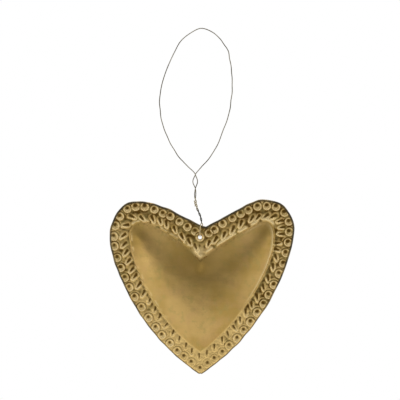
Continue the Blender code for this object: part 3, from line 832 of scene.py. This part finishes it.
def hem_widths():
    """The folded hem's width at each column, with slits where the rim turns sharply."""
    runs = runs_along(outline)
    width = HEM_WIDTH * (1 + HEM_WANDER * uneven(outline, HEM_SPAN, seed=5))
    for column in HEM_SLIT_COLUMNS:
        away = np.abs(runs - runs[column])
        away = np.minimum(away, runs[-1] - away)
        width = blend((ROLL, width), np.clip(away / SLIT_HALF, SLIT_LEFT, 1))
    return width


def fold_hem(skin):
    """The hem that lies flat against the back sheet, from its cut edge out to the rim."""
    width = hem_widths()
    for k in range(HEM_ROWS, 0, -1):
        flat = inset_loop(blend((ROLL, width), k / HEM_ROWS))
        skin.row(flat, FACE_Y + 2 * ROLL, wear_of(grime=HEM_GRIME))


def roll_rim(skin):
    """The rolled rim from the hem round to the face: dark with grime and painted shade, most at the top, and
    worn where it turns to the back.
    """
    old = oldness(outline)
    dark = np.clip(blend(RIM_DARK, old) + RIM_PATCHES * uneven(outline, RIM_SPAN, seed=41), 0, 1)
    for step in range(ROLL_STEPS, 0, -1):
        turn = pi * step / ROLL_STEPS
        flat = inset_loop(ROLL - ROLL_BULGE * sin(turn))
        # Grime with painted shade on the rim's turn, darker towards the top.
        rim = dark * smooth(sin(turn) / np.sin(blend(RIM_TURNS, old)))
        rim *= 1 - RIM_WORN * fade(turn, *RIM_WORN_TURNS)
        skin.row(flat, FACE_Y + ROLL - ROLL * cos(turn), wear_of(grime=RIM_GRIME, rim=rim))


def over_border(values, count, beyond=0.0):
    """A value for each column, spread over the border's rows, and one for all points beyond them."""
    spread = np.tile(values, BORDER_ROWS + 1)
    return np.r_[spread, np.full(count - len(spread), beyond)]


def ways_in(flat):
    """How far each point lies inside the rim, and inside the dome's foot (below 0 on the border)."""
    from_rim = np.outer(np.arange(BORDER_ROWS + 1) / BORDER_ROWS, border_width - ROLL).ravel()
    dome = flat[len(from_rim) :]
    under_notch = bump(np.linalg.norm(dome - DOME_NOTCH, axis=1), 0, NOTCH_REACH)
    up_dome = soft_distance(dome) * (1 - NOTCH_SOFT * under_notch)
    to_foot = np.tile(border_width - ROLL, BORDER_ROWS + 1) - from_rim
    return np.r_[from_rim, np.full(len(dome), np.inf)], np.r_[-to_foot, up_dome]


def sheet_relief(flat, from_rim, inside):
    """The height of stamps, seam and rough ground, the stamps' grime with painted shade, and the grime and
    painted shade of their pits.
    """
    relief, stamp_grime, pits = stamped_relief(flat)
    # The seam's height is never below 0, so what a strike sank ends at the plain sheet's level.
    upper = fade(-inward[:, 1], *SEAM_SLOPES) * np.where(outline[:, 0] > 0, 1.0, SEAM_LEFT)
    seam = over_border(upper, len(flat)) * bump(-inside, SEAM_GAP, SEAM_WIDTH)
    seam *= patchy(SEAM_SHARE, SEAM_SWING, flat, SEAM_SPAN, seed=17)
    relief = np.maximum(relief * smooth(from_rim / RELIEF_FADE), SEAM * seam)
    return relief + GROUND_ROUGH * uneven(flat, GROUND_SPAN, seed=3), stamp_grime, pits


def sheet_grime(flat, inside, relief, stamp_grime, hollows):
    """Grime in the border's hollows with the stamps' painted shade, a dark line along the dome's foot, and
    patina with painted shade at the dome's upper edge.
    """
    level = blend(GRIME_LEVELS, oldness(flat) + soft_patches(flat, DIRT_PATCHES))
    foot_line = FOOT_LINE * bump(-inside, FOOT_LINE_GAP, FOOT_LINE_WIDTH) * flanks(flat)
    foot_line *= fade(flat[:, 1], *FOOT_LINE_HEIGHTS) * (1 - fade(relief, *RUBBED_HEIGHTS))
    grime = np.clip(smooth((level - relief) / GRIME_RUN) + stamp_grime + foot_line, 0, 1)
    # Patina with painted shade on the dome's upper foot, where its slopes face up.
    patina = patchy(0, FOOT_PATINA_SWING, flat, FOOT_PATINA_SPAN, seed=23) * upper_dome(flat)
    patina *= fade(inside, *DOME_FOOT) * bump(inside, 0, FOOT_PATINA_REACH)
    return grime * hollows + FOOT_PATINA * patina


def sheet_rubbed(flat, relief, on_dome, bead):
    """The stamps' tops, rubbed bright and also given a painted highlight, and a painted highlight along the
    dome's sharp foot.
    """
    tops = fade(relief, *RUBBED_HEIGHTS) + soft_patches(flat, RUBBED_PATCHES)
    return np.maximum(np.minimum(tops, 1) * (1 - on_dome), EDGE_RUBBED * bead)


def sheet_handled(flat, inside):
    """The lower border, kept clean by handling and also given a painted sheen, and a painted sheen on a patch
    at the dome's left.
    """
    border = (1 - oldness(flat)) * (1 - fade(inside, *HANDLED_EDGE))
    return np.maximum(border, soft_patches(flat, HANDLED_PATCHES))


def rim_over_border(flat, from_rim):
    """The rim's dark line where it reaches in over the border: grime and painted shade, most at the top."""
    reach = over_border(blend(RIM_INWARD, oldness(outline)), len(flat), beyond=MM)
    return RIM_OVER_BORDER * (1 - smooth(from_rim / reach)) * oldness(flat)


def dome_swell(flat, inside, on_dome):
    """How far the cushion of the dome stands out, with its hammer marks."""
    risen = np.sqrt(np.maximum(inside, 0) ** 2 + FOOT_SOFT**2) - FOOT_SOFT
    hammered = HAMMERED * uneven(flat, HAMMERED_SPAN, seed=7) * blend(HAMMERED_SHARES, oldness(flat))
    return DOME_PUFF * (1 - (1 - risen / risen.max()) ** DOME_FULLNESS) + hammered * on_dome


def front_skin():
    """The front sheet from its hem round the rim, over the border and up to the dome's centre."""
    skin = Skin()
    fold_hem(skin)
    roll_rim(skin)
    rows = sheet_rows()
    flat = np.vstack([*rows, DOME_CENTRE])
    from_rim, inside = ways_in(flat)
    on_dome = fade(inside, *DOME_FOOT)
    hollows = (1 - on_dome) * smooth(-inside / CLEAN_FOOT)
    bead = bump(inside, BEAD_IN, BEAD_WIDTH) * flanks(flat) * on_dome
    relief, stamp_grime, pits = sheet_relief(flat, from_rim, inside)
    wear = wear_of(
        grime=sheet_grime(flat, inside, relief, stamp_grime, hollows),
        # The pits' dark is grime with painted shade.
        pit=pits * hollows,
        rubbed=sheet_rubbed(flat, relief, on_dome, bead),
        # Tarnish with painted shade on the dome.
        tarnish=np.clip(soft_patches(flat, TARNISH_PATCHES), 0, 1) * on_dome,
        rim=rim_over_border(flat, from_rim),
        handled=sheet_handled(flat, inside),
    )
    depth = FACE_Y - dome_swell(flat, inside, on_dome) - BEAD * bead - relief * (1 - on_dome)
    ends = np.cumsum([len(row) for row in rows])
    for row, depths, worn in zip([*rows, flat[-1:]], np.split(depth, ends), np.split(wear, ends)):
        skin.row(row, depths, worn)
    return skin


METAL = 1.0
GRAIN_EDGES = (0.3, 0.7)


def new_material(name):
    material = bpy.data.materials.new(name)
    material.use_nodes = True
    return material, material.node_tree.nodes["Principled BSDF"]


def add_noise(tree, scale, detail, stretch=(1.0, 1.0, 1.0)):
    """Noise in the sheet's own space; the scale is in waves for each metre."""
    place = tree.nodes.new("ShaderNodeTexCoord")
    mapping = tree.nodes.new("ShaderNodeMapping")
    mapping.inputs["Scale"].default_value = tuple(scale * s for s in stretch)
    tree.links.new(place.outputs["Object"], mapping.inputs["Vector"])
    noise = tree.nodes.new("ShaderNodeTexNoise")
    noise.inputs["Scale"].default_value = 1.0
    noise.inputs["Detail"].default_value = detail
    tree.links.new(mapping.outputs["Vector"], noise.inputs["Vector"])
    return noise.outputs["Fac"]


def add_attribute(tree, name):
    node = tree.nodes.new("ShaderNodeAttribute")
    node.attribute_name = name
    return node.outputs["Fac"]


def add_bumps(tree, shader, heights):
    """Adds fine relief from several heights; each comes with its depth in metres."""
    normal = None
    for height, depth in heights:
        node = tree.nodes.new("ShaderNodeBump")
        node.inputs["Distance"].default_value = depth
        tree.links.new(height, node.inputs["Height"])
        if normal is not None:
            tree.links.new(normal, node.inputs["Normal"])
        normal = node.outputs["Normal"]
    tree.links.new(normal, shader.inputs["Normal"])


def dress(tree, shader, tone, grain, roughness, bumps):
    """Bare metal in a tone, with a roughness that follows its grain, and its fine relief."""
    tree.links.new(tone, shader.inputs["Base Color"])
    shader.inputs["Metallic"].default_value = METAL
    tree.links.new(add_range(tree, grain, GRAIN_EDGES, roughness), shader.inputs["Roughness"])
    add_bumps(tree, shader, bumps)


PALE_BRASS = (0.69, 0.46, 0.16)
DEEP_BRASS = (0.54, 0.355, 0.10)
OLIVE_BRASS = (0.47, 0.37, 0.12)
HANDLED_BRASS = (0.98, 0.69, 0.26)
RUBBED_BRASS = (1.0, 0.77, 0.38)
TARNISHED_BRASS = (0.33, 0.21, 0.055)
GRIME_BROWN = (0.15, 0.078, 0.012)
GRIME_OLIVE = (0.32, 0.225, 0.07)
RIM_GREY = (0.09, 0.078, 0.05)
ROSY_BRASS = (0.66, 0.40, 0.17)
# Each noise has its waves in a metre, its detail and, where it is stretched, its pace on each axis.
CLOUDS = (55.0, 3.0)
MOTTLE = (300.0, 4.0)
BLUSH = (130.0, 3.0)
STREAKS = (90.0, 3.0, (0.7, 0.7, 26.0))
CLOUD_EDGES = (0.35, 0.65)
OLIVE_EDGES = (0.50, 0.68)
OLIVE_SHARES = (0.0, 0.45)
ROSY_EDGES = (0.50, 0.66)
ROSY_SHARES = (0.0, 0.3)
DIRT_EDGES = (0.42, 0.6)
SATIN = (0.34, 0.44)
STREAK_DEPTH = 0.03 * MM
MOTTLE_DEPTH = 0.02 * MM


def stamped_brass():
    """Satin brass: brushed streaks, an olive and a rosy mottling, brown grime and painted shade in the
    hollows, and painted highlights.
    """
    material, shader = new_material("stamped_brass")
    tree = material.node_tree
    cloud, mottle, blush, streaks = (add_noise(tree, *noise) for noise in (CLOUDS, MOTTLE, BLUSH, STREAKS))
    tone = add_mix(tree, add_range(tree, cloud, CLOUD_EDGES), DEEP_BRASS, PALE_BRASS)
    tone = add_mix(tree, add_range(tree, mottle, OLIVE_EDGES, OLIVE_SHARES), tone, OLIVE_BRASS)
    tone = add_mix(tree, add_range(tree, blush, ROSY_EDGES, ROSY_SHARES), tone, ROSY_BRASS)
    dirt = add_mix(tree, add_range(tree, mottle, DIRT_EDGES), GRIME_BROWN, GRIME_OLIVE)
    # The tarnish, grime, pit and rim layers carry painted shade as well as real tarnish and grime; the
    # handled and rubbed layers carry painted highlights as well as real wear.
    layers = (
        ("tarnish", TARNISHED_BRASS),
        ("handled", HANDLED_BRASS),
        ("rubbed", RUBBED_BRASS),
        ("grime", dirt),
        ("pit", GRIME_BROWN),
        ("rim", RIM_GREY),
    )
    for kind, colour in layers:
        tone = add_mix(tree, add_attribute(tree, kind), tone, colour)
    dress(tree, shader, tone, streaks, SATIN, ((streaks, STREAK_DEPTH), (mottle, MOTTLE_DEPTH)))
    return material


stamped_sheet = sheet_object("stamped_front_sheet", front_skin(), stamped_brass())
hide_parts("front_shell")
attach(stamped_sheet, "heart")


# The back sheet.
# A flat sheet of the same brass, cut a little smaller and caught under the folded rim, so it sits
# loose by a hair. It was left plain, and has scuffed and tarnished against the wall.
_, back_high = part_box("back_sheet")
BUCKLE = 0.09 * MM
BUCKLE_SPAN = 22 * MM
BACK_ROWS = 60
BACK_HALVINGS = (24, 42, 53)
PLAIN_BRASS = (0.60, 0.42, 0.16)
DULL_BRASS = (0.36, 0.25, 0.09)
DULL_CLOUDS = (45.0, 5.0)
DULL_EDGES = (0.38, 0.66)
SCUFFS = (160.0, 3.0, (12.0, 1.0, 0.5))
SCUFFED = (0.36, 0.52)
SCUFF_DEPTH = 0.03 * MM
DENT_DEPTH = 0.3 * MM


def back_skin():
    skin = Skin()
    edge = inset_loop(ROLL)
    for row in [edge, *rows_inside(edge, BACK_ROWS, BACK_HALVINGS), DOME_CENTRE[None]]:
        skin.row(row, back_high.y + BUCKLE * uneven(row, BUCKLE_SPAN, seed=9), wear_of())
    skin.faces = [tuple(reversed(face)) for face in skin.faces]
    return skin


def plain_brass():
    """Rolled brass with upright scuffs and cloudy tarnish."""
    material, shader = new_material("plain_brass")
    tree = material.node_tree
    cloud, scuffs = (add_noise(tree, *noise) for noise in (DULL_CLOUDS, SCUFFS))
    tone = add_mix(tree, add_range(tree, cloud, DULL_EDGES), PLAIN_BRASS, DULL_BRASS)
    dress(tree, shader, tone, scuffs, SCUFFED, ((scuffs, SCUFF_DEPTH), (cloud, DENT_DEPTH)))
    return material


back_sheet = sheet_object("plain_back_sheet", back_skin(), plain_brass())
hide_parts("back_sheet")
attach(back_sheet, "heart")


# The wire hanger.
# One length of half-millimetre brass wire, pushed through the hole, twisted on itself above the
# notch and bent by hand into a tall loop. Its two cut ends are lapped and wrapped in the twist.
WIRE_RADIUS = 0.25 * MM
WIRE_SIDES = 12
WIRE_END = 0.6
START_SIDE = (0, 1, 0.3)
TWIST_RADIUS = 0.33 * MM
OVERLAP_RADIUS = 0.50 * MM
EYE_RADIUS = 1.25 * MM
TAIL_RADIUS = 1.35 * MM
TAIL_LENGTH = 0.9 * MM
CROSSINGS = np.array((-104.1, -101.6, -99.0, -96.2, -92.4, -86.2, -78.7)) * MM
UPPER_TAIL = -92.9 * MM
LOWER_TAIL = -95.8 * MM
OVERLAP_SPREAD = 1.1 * MM
THIRD_TURN = 2 * pi / 3
STEM_AXIS = np.array((
    (0.8, -104.1),
    (0.3, -101.5),
    (-0.5, -99.5),
    (-1.5, -97.2),
    (-2.3, -94.6),
    (-2.6, -91.4),
    (-2.5, -87.0),
    (-2.6, -82.7),
    (-2.5, -78.7),
)) * MM
LOOP = np.array((
    (-0.2, -75.7),
    (3.8, -71.3),
    (8.6, -64.3),
    (12.4, -55.2),
    (15.3, -46.9),
    (17.0, -38.4),
    (17.5, -30.3),
    (16.7, -20.4),
    (15.1, -12.2),
    (11.9, -6.8),
    (6.5, -1.7),
    (0.5, 0.25),
    (-5.1, -2.3),
    (-10.5, -6.8),
    (-13.8, -12.5),
    (-17.5, -20.4),
    (-20.5, -29.8),
    (-21.7, -41.7),
    (-20.0, -52.5),
    (-16.3, -61.3),
    (-11.7, -68.7),
    (-6.8, -74.1),
)) * MM
STRAND_Y = 1.675 * MM
WIRE_IN_HOLE = -112.05 * MM
BIGHT_BEND = 0.8 * MM
BEND_STEPS = 8
EDGE_REACH = 1.6 * MM
BACK_LEAN = 1.4 * MM
FRONT_LEAN = 0.35 * MM
STRANDS_MEET_OVER = 20 * MM
TWIST_STEP = 0.25 * MM
LOOP_STEP = 0.8 * MM
TURN_POINTS = 14
KINK = 0.10 * MM
KINK_SPAN = 7 * MM
# These soft steps too are given as where they start and how far they run.
KINKS_ABOVE_TWIST = (LOOP[0, 1], 8 * MM)
KINKS_BELOW_HOOK = (-3 * MM, -6 * MM)
TWIST_DIRTY = (-84 * MM, -14 * MM)
LAPPED_EDGE = (4.5 * MM, -3 * MM)
LAPPED_BARE = 0.35
STRANDS_BARE = (CROSSINGS[0], -2.5 * MM)
WIRE_PALE = (0.34, 0.30, 0.215)
WIRE_DARK = (0.12, 0.10, 0.05)
WIRE_DIRTY = (0.045, 0.04, 0.02)
WIRE_BARE = (0.9, 0.74, 0.42)
WIRE_PATCHES = (110.0, 2.0)
WIRE_PATCH_EDGES = (0.4, 0.62)
DRAWN = (1500.0, 2.0)
DRAWN_DEPTH = 0.02 * MM
DULL_WIRE = (0.38, 0.55)


def smooth_path(points, step):
    """Points every step or so along a smooth curve through the given points."""
    p = np.array(points)
    knots = runs_along(p)
    tangents = np.gradient(p, knots, axis=0)
    out = []
    for k in range(len(p) - 1):
        span = knots[k + 1] - knots[k]
        count = max(1, round(span / step))
        t = (np.arange(count) / count)[:, None]
        far = smooth(t)
        leaving = (t**3 - 2 * t**2 + t) * span * tangents[k]
        arriving = (t**3 - t**2) * span * tangents[k + 1]
        out.append((1 - far) * p[k] + leaving + far * p[k + 1] + arriving)
    out.append(p[-1:])
    return np.vstack(out)


def twist_heights(low, high):
    """Heights at even steps of the twist's turning between two heights."""
    turns = np.arange(len(CROSSINGS))
    first, last = np.interp((low, high), CROSSINGS, turns)
    count = round((last - first) * TURN_POINTS)
    return np.interp(np.linspace(first, last, count + 1), turns, CROSSINGS)


def strand(heights, spread_places, spreads, tail_end):
    """A strand of the twist; its spread is its angle round the stem from the through strand."""
    axis = smooth_path(STEM_AXIS, TWIST_STEP)
    lapped = (LOWER_TAIL - OVERLAP_SPREAD, LOWER_TAIL, UPPER_TAIL, UPPER_TAIL + OVERLAP_SPREAD)
    points = []
    for z in heights:
        half_turns = np.interp(z, CROSSINGS, np.arange(len(CROSSINGS)))
        radius = blend((TWIST_RADIUS, OVERLAP_RADIUS), np.interp(z, lapped, (0, 1, 1, 0)))
        eye = np.clip((z - CROSSINGS[-2]) / (CROSSINGS[-1] - CROSSINGS[-2]), 0, 1)
        radius += (EYE_RADIUS - TWIST_RADIUS) * sqrt(max(sin(pi * eye), 0))
        if tail_end is not None:
            radius += (TAIL_RADIUS - OVERLAP_RADIUS) * np.clip(1 - abs(z - tail_end) / TAIL_LENGTH, 0, 1)
        angle = pi / 2 - pi * half_turns + np.interp(z, spread_places, spreads)
        x = np.interp(z, axis[:, 1], axis[:, 0])
        points.append((x + radius * cos(angle), radius * sin(angle), z))
    return points


def bend(y_side):
    """The wire's quarter bend out of the hole, to the front or to the back."""
    points = []
    for step in range(BEND_STEPS + 1):
        turn = pi / 2 * step / BEND_STEPS
        y = y_side * (STRAND_Y - BIGHT_BEND + BIGHT_BEND * sin(turn))
        points.append((HOLE[0], y, WIRE_IN_HOLE + BIGHT_BEND * (1 - cos(turn))))
    return points


def wire_path():
    """Upper tail, twist, front strand, hole, back strand, twist, loop, twist, lower tail."""
    foot, top = CROSSINGS[0], CROSSINGS[-1]
    edge = foot - EDGE_REACH
    middle = (edge + WIRE_IN_HOLE) / 2
    below = (LOWER_TAIL - OVERLAP_SPREAD, LOWER_TAIL)
    above = (UPPER_TAIL, UPPER_TAIL + OVERLAP_SPREAD)
    front = strand(twist_heights(foot, UPPER_TAIL), below, (pi, THIRD_TURN), UPPER_TAIL)[::-1]
    through = strand(twist_heights(foot, top), (foot, top), (0, 0), None)
    upper = strand(twist_heights(LOWER_TAIL, top), above, (2 * THIRD_TURN, pi), LOWER_TAIL)[::-1]
    front_run = [(HOLE[0] + FRONT_LEAN, -STRAND_Y, edge), (HOLE[0], -STRAND_Y, middle)]
    back_run = [(HOLE[0] + BACK_LEAN / 2, STRAND_Y, middle), (HOLE[0] + BACK_LEAN, STRAND_Y, edge)]
    loop = []
    for k, (x, z) in enumerate(LOOP):
        apart = max(0.0, 1 - (z - LOOP[:, 1].min()) / STRANDS_MEET_OVER)
        side = 1 if k < len(LOOP) / 2 else -1
        loop.append((x, side * TWIST_RADIUS * apart, z))
    low = front + front_run + bend(-1)[::-1] + bend(1) + back_run + through
    big = smooth_path([through[-2], through[-1]] + loop + [upper[0], upper[1]], LOOP_STEP)
    big = big[big[:, 2] > top + TWIST_STEP]
    return np.vstack([smooth_path(low, TWIST_STEP), big, smooth_path(upper, TWIST_STEP)])


def kinked(path):
    """The loop's small hand-made kinks, none of them at the hook or in the twist."""
    run = runs_along(path)
    free = fade(path[:, 2], *KINKS_ABOVE_TWIST) * fade(path[:, 2], *KINKS_BELOW_HOOK)
    for axis, seed in ((0, 21), (1, 22)):
        path[:, axis] += KINK * free * uneven(np.c_[run, np.zeros(len(run))], KINK_SPAN, seed)
    return path


def wire_mesh(path):
    """A round tube along the path, with slightly rounded ends."""
    ahead = np.gradient(path, axis=0)
    ahead /= np.linalg.norm(ahead, axis=1)[:, None]
    side = np.cross(ahead[0], START_SIDE)
    turns = np.arange(WIRE_SIDES) * 2 * pi / WIRE_SIDES
    places, faces = [], []
    for k, (point, forward) in enumerate(zip(path, ahead)):
        side = side - forward * (side @ forward)
        side /= np.linalg.norm(side)
        up = np.cross(forward, side)
        radius = WIRE_RADIUS * (WIRE_END if k in (0, len(path) - 1) else 1)
        places.extend(point + radius * (cos(t) * side + sin(t) * up) for t in turns)
        if k:
            one, two = (k - 1) * WIRE_SIDES, k * WIRE_SIDES
            for i in range(WIRE_SIDES):
                j = (i + 1) % WIRE_SIDES
                faces.append((one + i, one + j, two + j, two + i))
    faces.append(tuple(range(WIRE_SIDES))[::-1])
    faces.append(tuple(range(len(places) - WIRE_SIDES, len(places))))
    mesh = bpy.data.meshes.new("hanger_wire_bent")
    mesh.from_pydata(places, [], faces)
    height = np.array(places)[:, 2]
    lapped = fade(np.abs(height - (LOWER_TAIL + UPPER_TAIL) / 2), *LAPPED_EDGE)
    # A painted highlight along the strands below the twist; the lapped tails are rubbed pale.
    bare = fade(height, *STRANDS_BARE)
    # Darker over the lower twist, where the strands lie close.
    dirty = fade(height, *TWIST_DIRTY) * (1 - lapped) * (1 - bare)
    keep_wear(mesh, (("dirty", dirty), ("bare", np.maximum(bare, LAPPED_BARE * lapped))))
    mesh.shade_smooth()
    return mesh


def wire_brass():
    """Drawn brass gone grey olive, darker over the twist, rubbed pale where its tails lap, and with a painted
    highlight along the strands below the twist.
    """
    material, shader = new_material("wire_brass")
    tree = material.node_tree
    patches, drawn = (add_noise(tree, *noise) for noise in (WIRE_PATCHES, DRAWN))
    tone = add_mix(tree, add_range(tree, patches, WIRE_PATCH_EDGES), WIRE_DARK, WIRE_PALE)
    for kind, colour in (("dirty", WIRE_DIRTY), ("bare", WIRE_BARE)):
        tone = add_mix(tree, add_attribute(tree, kind), tone, colour)
    dress(tree, shader, tone, drawn, DULL_WIRE, ((drawn, DRAWN_DEPTH),))
    return material


wire = bpy.data.objects.new("twisted_wire_hanger", wire_mesh(kinked(wire_path())))
wire.data.materials.append(wire_brass())
bpy.context.scene.collection.objects.link(wire)
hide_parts("hanger_wire")
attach(wire, "hanger")
